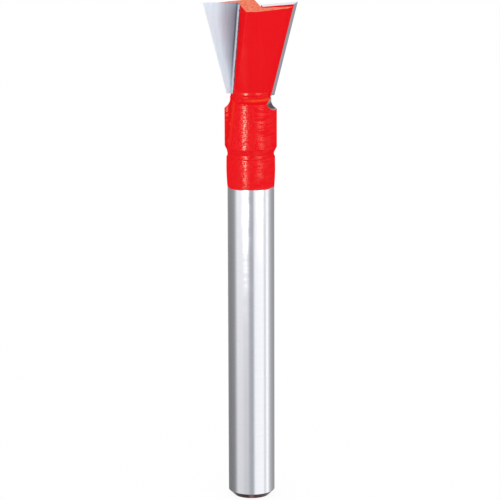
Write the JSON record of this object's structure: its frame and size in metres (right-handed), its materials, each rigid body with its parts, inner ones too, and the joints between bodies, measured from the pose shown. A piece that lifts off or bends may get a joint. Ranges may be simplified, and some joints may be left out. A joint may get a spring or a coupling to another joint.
{
  "type": "dovetail router cutter",
  "caption": "Straight-shank dovetail cutter with a collar, a fluted flared head coated red and brazed carbide tips, for routing dovetail slots.",
  "frame": {"origin": "centre of the shank's end face, on the axis of rotation", "axes": "+Z along the axis from the shank to the cutting end; tip 1 points along -X with its cutting face towards -Y"},
  "size_m": [0.0126, 0.0118, 0.0685],
  "materials": {
    "coated_steel": "satin red coating on the head and collar; ground bare steel on the shank",
    "carbide": "fine-ground tungsten carbide",
    "braze": "bright silver braze, ground flush"
  },
  "bodies": {
    "root": {"body": "coated_steel", "carbide_tip_1": "carbide", "carbide_tip_2": "carbide", "braze_seam_1": "braze", "braze_seam_2": "braze"}
  },
  "joints": []
}
